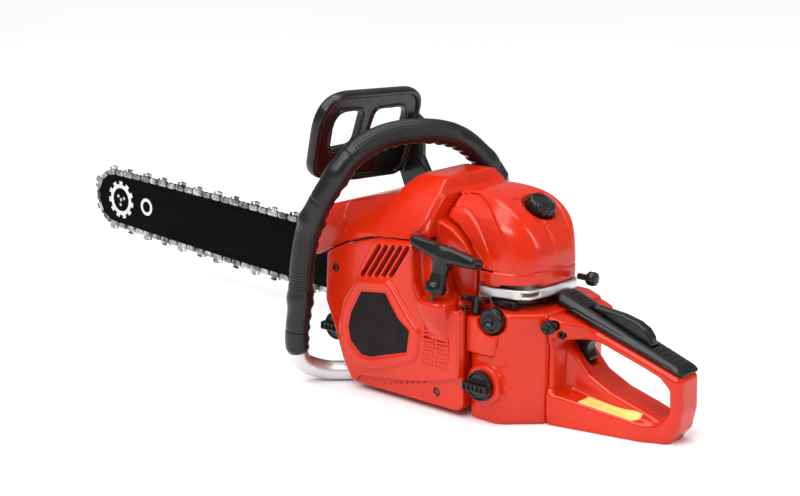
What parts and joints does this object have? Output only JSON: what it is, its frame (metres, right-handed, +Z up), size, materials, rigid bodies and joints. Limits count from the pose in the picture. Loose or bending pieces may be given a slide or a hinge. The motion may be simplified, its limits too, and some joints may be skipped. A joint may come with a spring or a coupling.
{
  "type": "chainsaw",
  "caption": "Petrol chainsaw with a long guide bar, wrap-around front handle, looped rear handle with throttle, chain brake guard and recoil starter.",
  "frame": {"origin": "on the ground under the crankshaft, on the flat foot of the crankcase", "axes": "+Z up, -X along the guide bar to its nose, -Y to the starter side, +Y to the bar and clutch side"},
  "size_m": [0.9391, 0.2256, 0.2996],
  "materials": {
    "red_shell": "glossy orange-red",
    "black_plastic": "satin black",
    "black_rubber": "matt black",
    "steel": "ground steel",
    "dark_steel": "oiled dark steel",
    "cast_aluminium": "die-cast",
    "bar_paint": "smooth black paint",
    "filter_felt": "pleated felt",
    "cord": "braided",
    "ceramic": "glazed white"
  },
  "bodies": {
    "saw_body": {"crankcase": "red_shell", "bearing_left": "steel", "bearing_right": "steel", "cylinder": "cast_aluminium", "spark_plug": "ceramic", "plug_boot": "black_rubber", "muffler": "dark_steel", "ignition_coil": "black_plastic", "starter_housing": "red_shell", "recoil_spring": "steel", "starter_rope": "cord", "fuel_tank": "red_shell", "rear_handle": "red_shell", "handle_cover": "black_plastic", "trigger_pin": "steel", "air_box_base": "cast_aluminium", "air_filter": "filter_felt", "air_filter_cover": "red_shell", "carburettor": "cast_aluminium", "intake_boot": "black_rubber", "cylinder_cover": "red_shell", "guide_bar": "bar_paint", "chain": "steel", "brake_band": "dark_steel", "oil_pump": "dark_steel", "sprocket_cover": "black_plastic", "spiked_bumper": "steel", "chain_catcher": "black_plastic", "bar_stud_front": "steel", "bar_stud_rear": "steel", "bar_nut_front": "steel", "bar_nut_rear": "steel", "front_handle_tube": "cast_aluminium", "front_handle_grip": "black_rubber", "guard_pin": "steel", "left_mount": "black_rubber"},
    "crankshaft": {"crank_half_left": "dark_steel", "crank_half_right": "dark_steel", "flywheel": "cast_aluminium", "clutch_hub": "dark_steel"},
    "piston_set": {"piston": "cast_aluminium", "wrist_pin": "steel", "connecting_rod": "dark_steel", "crank_pin": "steel"},
    "drum": {"clutch_drum": "steel"},
    "nose_wheel": {"nose_sprocket": "steel"},
    "pull_grip": {"starter_handle": "black_plastic"},
    "pulley": {"starter_pulley": "black_plastic"},
    "guard": {"hand_guard": "black_plastic"},
    "trigger": {"throttle_trigger": "black_plastic"},
    "link": {"throttle_rod": "steel"},
    "lockout": {"throttle_lockout": "black_plastic"},
    "latch": {"latch_button": "red_shell"},
    "choke": {"choke_knob": "black_plastic"},
    "ignition_switch": {"stop_switch": "black_plastic"},
    "filter_screw": {"filter_knob": "black_plastic"},
    "fuel_filler_cap": {"fuel_cap": "black_plastic"},
    "oil_filler_cap": {"oil_cap": "black_plastic"}
  },
  "joints": [
    {"name": "crankshaft_spin", "type": "hinge", "parent": "saw_body", "child": "crankshaft", "pos_m": [0, 0, 0.07], "axis": [0, 1, 0], "continuous": true},
    {"name": "piston_stroke", "type": "slide", "parent": "saw_body", "child": "piston_set", "axis": [0, 0, 1], "range_m": [-0.032, 0]},
    {"name": "drum_spin", "type": "hinge", "parent": "saw_body", "child": "drum", "pos_m": [0, 0, 0.07], "axis": [0, 1, 0], "continuous": true},
    {"name": "nose_sprocket_spin", "type": "hinge", "parent": "saw_body", "child": "nose_wheel", "pos_m": [-0.59943, 0.052, 0.09617], "axis": [0, 1, 0], "continuous": true},
    {"name": "starter_pull", "type": "slide", "parent": "saw_body", "child": "pull_grip", "axis": [0.1401, 0.2601, 0.9554], "range_m": [0, 0.7], "stiffness_N_per_m": 12},
    {"name": "pulley_spin", "type": "hinge", "parent": "saw_body", "child": "pulley", "pos_m": [0, 0, 0.07], "axis": [0, 1, 0], "range_deg": [0, 1760.1]},
    {"name": "chain_brake", "type": "hinge", "parent": "saw_body", "child": "guard", "pos_m": [-0.088, 0.063, 0.135], "axis": [0, -1, 0], "range_deg": [0, 16]},
    {"name": "throttle", "type": "hinge", "parent": "saw_body", "child": "trigger", "pos_m": [0.18, 0, 0.092], "axis": [0, -1, 0], "range_deg": [0, 12], "stiffness_Nm_per_rad": 0.9},
    {"name": "throttle_link", "type": "slide", "parent": "saw_body", "child": "link", "axis": [1, 0, 0], "range_m": [0, 0.001]},
    {"name": "lockout_press", "type": "hinge", "parent": "saw_body", "child": "lockout", "pos_m": [0.25, 0, 0.082], "axis": [0, -1, 0], "range_deg": [0, 6], "stiffness_Nm_per_rad": 1.5},
    {"name": "latch_press", "type": "slide", "parent": "saw_body", "child": "latch", "axis": [0, 1, 0], "range_m": [0, 0.004], "stiffness_N_per_m": 400},
    {"name": "choke_pull", "type": "slide", "parent": "saw_body", "child": "choke", "axis": [1, 0, 0], "range_m": [0, 0.01]},
    {"name": "stop_switch_turn", "type": "hinge", "parent": "saw_body", "child": "ignition_switch", "pos_m": [0.102, -0.074, 0.118], "axis": [0, 0, 1], "range_deg": [-8, 8]},
    {"name": "filter_knob_turn", "type": "hinge", "parent": "saw_body", "child": "filter_screw", "pos_m": [0.118, 0, 0.196], "axis": [0.4384, 0, 0.8988], "continuous": true},
    {"name": "fuel_cap_turn", "type": "hinge", "parent": "saw_body", "child": "fuel_filler_cap", "pos_m": [0.118, -0.08, 0.039], "axis": [0, -1, 0], "continuous": true},
    {"name": "oil_cap_turn", "type": "hinge", "parent": "saw_body", "child": "oil_filler_cap", "pos_m": [-0.099, -0.06, 0.05], "axis": [0, -1, 0], "continuous": true}
  ],
  "couplings": [
    {"joint": "pulley_spin", "follows": "starter_pull", "rad_per_m": 43.86},
    {"joint": "throttle_link", "follows": "throttle", "m_per_rad": 0.004}
  ]
}
